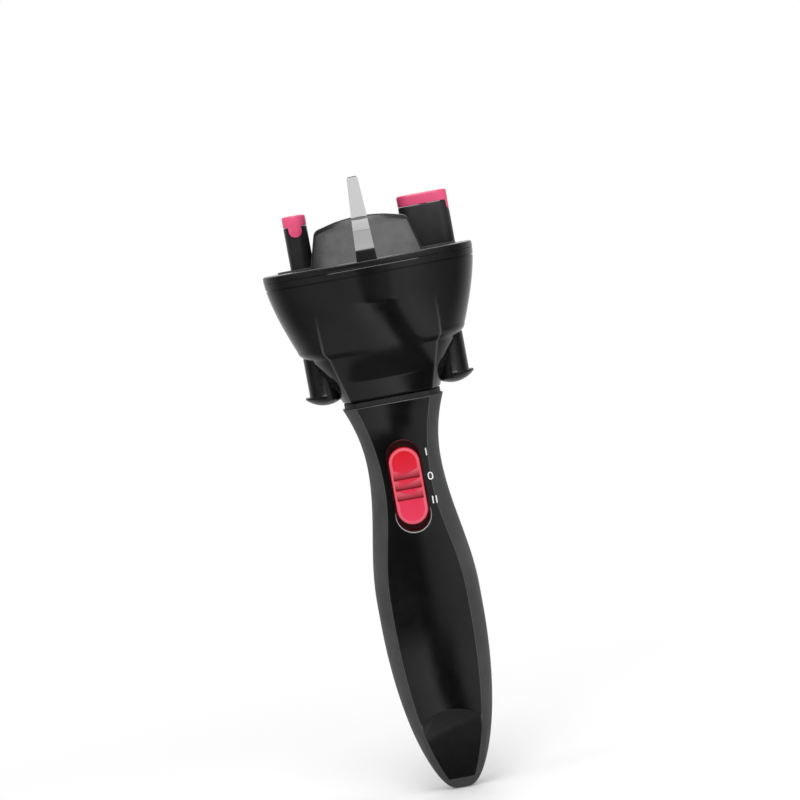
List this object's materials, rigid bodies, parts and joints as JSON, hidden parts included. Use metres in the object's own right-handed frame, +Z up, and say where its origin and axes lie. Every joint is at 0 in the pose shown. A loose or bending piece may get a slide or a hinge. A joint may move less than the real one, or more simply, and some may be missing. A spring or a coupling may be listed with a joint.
{
  "type": "automatic hair braider",
  "caption": "Battery-powered hand tool with a tapering handle, a sliding switch and a turning head whose hook arms twist and braid strands of hair.",
  "frame": {"origin": "on the spin axis at the small flat end of the handle", "axes": "+Z up the spin axis from the handle's tip to the divider fin; -Y is the front, where the switch is; +X is the right when the front is seen"},
  "size_m": [0.0882, 0.0576, 0.26],
  "materials": {
    "gloss_shell": "polished black ABS",
    "satin_shell": "satin black ABS with fine spark texture",
    "arm_black": "semi-gloss black",
    "hook_pink": "semi-gloss pink",
    "knob_red": "semi-gloss red",
    "bezel_red": "dark red",
    "inner_black": "as moulded",
    "nylon": "natural acetal",
    "steel": "bright",
    "brass": "turned",
    "cell_sleeve": "printed sleeve, plain"
  },
  "bodies": {
    "handle": {"handle_front_cover": "gloss_shell", "handle_body": "satin_shell", "battery_tray": "inner_black", "batteries": "cell_sleeve", "battery_contacts": "steel", "switch_bezel": "bezel_red", "slide_switch": "steel", "motor": "steel", "gear_axle": "steel", "lower_gear_plate": "inner_black", "upper_gear_plate": "inner_black", "neck_bearing": "nylon", "thrust_washer": "inner_black", "shell_screws": "steel"},
    "battery_door": {"battery_door": "satin_shell"},
    "switch_knob": {"switch_knob": "knob_red"},
    "motor_rotor": {"motor_shaft": "steel", "motor_pinion": "brass"},
    "first_gear": {"first_gear": "nylon"},
    "second_gear": {"second_gear": "nylon"},
    "third_gear": {"third_gear": "nylon"},
    "output": {"output_gear": "nylon", "output_shaft": "steel"},
    "head": {"head_hub": "nylon", "hub_retaining_ring": "steel", "head_cup": "gloss_shell", "head_top_cover": "gloss_shell", "divider_fin": "gloss_shell", "gear_carrier": "nylon", "head_screws": "steel"},
    "sun": {"sun_gear": "nylon", "sun_shaft": "steel"},
    "left_arm": {"left_arm": "arm_black", "left_turntable": "arm_black", "left_arm_gear": "nylon", "left_return_spring": "steel"},
    "right_arm": {"right_arm": "arm_black", "right_turntable": "arm_black", "right_arm_gear": "nylon", "right_return_spring": "steel"},
    "left_hook": {"left_hook": "hook_pink", "left_lift_rod": "steel", "left_rod_collar": "brass"},
    "right_hook": {"right_hook": "hook_pink", "right_lift_rod": "steel", "right_rod_collar": "brass"},
    "left_button": {"left_push_button": "arm_black"},
    "right_button": {"right_push_button": "arm_black"}
  },
  "joints": [
    {"name": "battery_door_off", "type": "slide", "parent": "handle", "child": "battery_door", "axis": [0, 1, 0], "range_m": [0, 0.03]},
    {"name": "switch_slide", "type": "slide", "parent": "handle", "child": "switch_knob", "axis": [0, 0, 1], "range_m": [-0.0026, 0.0026]},
    {"name": "motor_spin", "type": "hinge", "parent": "handle", "child": "motor_rotor", "pos_m": [0, 0, 0.128], "axis": [0, 0, 1], "continuous": true},
    {"name": "first_gear_spin", "type": "hinge", "parent": "handle", "child": "first_gear", "pos_m": [0.0072, 0, 0.13], "axis": [0, 0, 1], "continuous": true},
    {"name": "second_gear_spin", "type": "hinge", "parent": "handle", "child": "second_gear", "pos_m": [0, 0, 0.134], "axis": [0, 0, 1], "continuous": true},
    {"name": "third_gear_spin", "type": "hinge", "parent": "handle", "child": "third_gear", "pos_m": [0.0072, 0, 0.138], "axis": [0, 0, 1], "continuous": true},
    {"name": "output_spin", "type": "hinge", "parent": "handle", "child": "output", "pos_m": [0, 0, 0.141], "axis": [0, 0, 1], "continuous": true},
    {"name": "head_spin", "type": "hinge", "parent": "handle", "child": "head", "pos_m": [0, 0, 0.166], "axis": [0, 0, 1], "continuous": true},
    {"name": "sun_spin", "type": "hinge", "parent": "head", "child": "sun", "pos_m": [0, 0, 0.213], "axis": [0, 0, 1], "continuous": true},
    {"name": "left_arm_spin", "type": "hinge", "parent": "head", "child": "left_arm", "pos_m": [-0.027, 0, 0.213], "axis": [0, 0, 1], "continuous": true},
    {"name": "right_arm_spin", "type": "hinge", "parent": "head", "child": "right_arm", "pos_m": [0.027, 0, 0.213], "axis": [0, 0, 1], "continuous": true},
    {"name": "left_button_lift", "type": "slide", "parent": "head", "child": "left_button", "axis": [0, 0, 1], "range_m": [0, 0.007], "stiffness_N_per_m": 120, "springref_m": -0.006},
    {"name": "right_button_lift", "type": "slide", "parent": "head", "child": "right_button", "axis": [0, 0, 1], "range_m": [0, 0.007], "stiffness_N_per_m": 120, "springref_m": -0.006},
    {"name": "left_hook_lift", "type": "slide", "parent": "left_arm", "child": "left_hook", "axis": [0, 0, 1], "range_m": [0, 0.007], "deforming": ["left_return_spring"]},
    {"name": "right_hook_lift", "type": "slide", "parent": "right_arm", "child": "right_hook", "axis": [0, 0, 1], "range_m": [0, 0.007], "deforming": ["right_return_spring"]}
  ],
  "couplings": [
    {"joint": "motor_spin", "follows": "second_gear_spin", "ratio": 6.76},
    {"joint": "first_gear_spin", "follows": "second_gear_spin", "ratio": -2.6},
    {"joint": "third_gear_spin", "follows": "second_gear_spin", "ratio": -0.38462},
    {"joint": "output_spin", "follows": "second_gear_spin", "ratio": 0.14793},
    {"joint": "left_arm_spin", "follows": "sun_spin", "ratio": -2},
    {"joint": "right_arm_spin", "follows": "sun_spin", "ratio": -2},
    {"joint": "left_hook_lift", "follows": "left_button_lift", "ratio": 1},
    {"joint": "right_hook_lift", "follows": "right_button_lift", "ratio": 1}
  ]
}
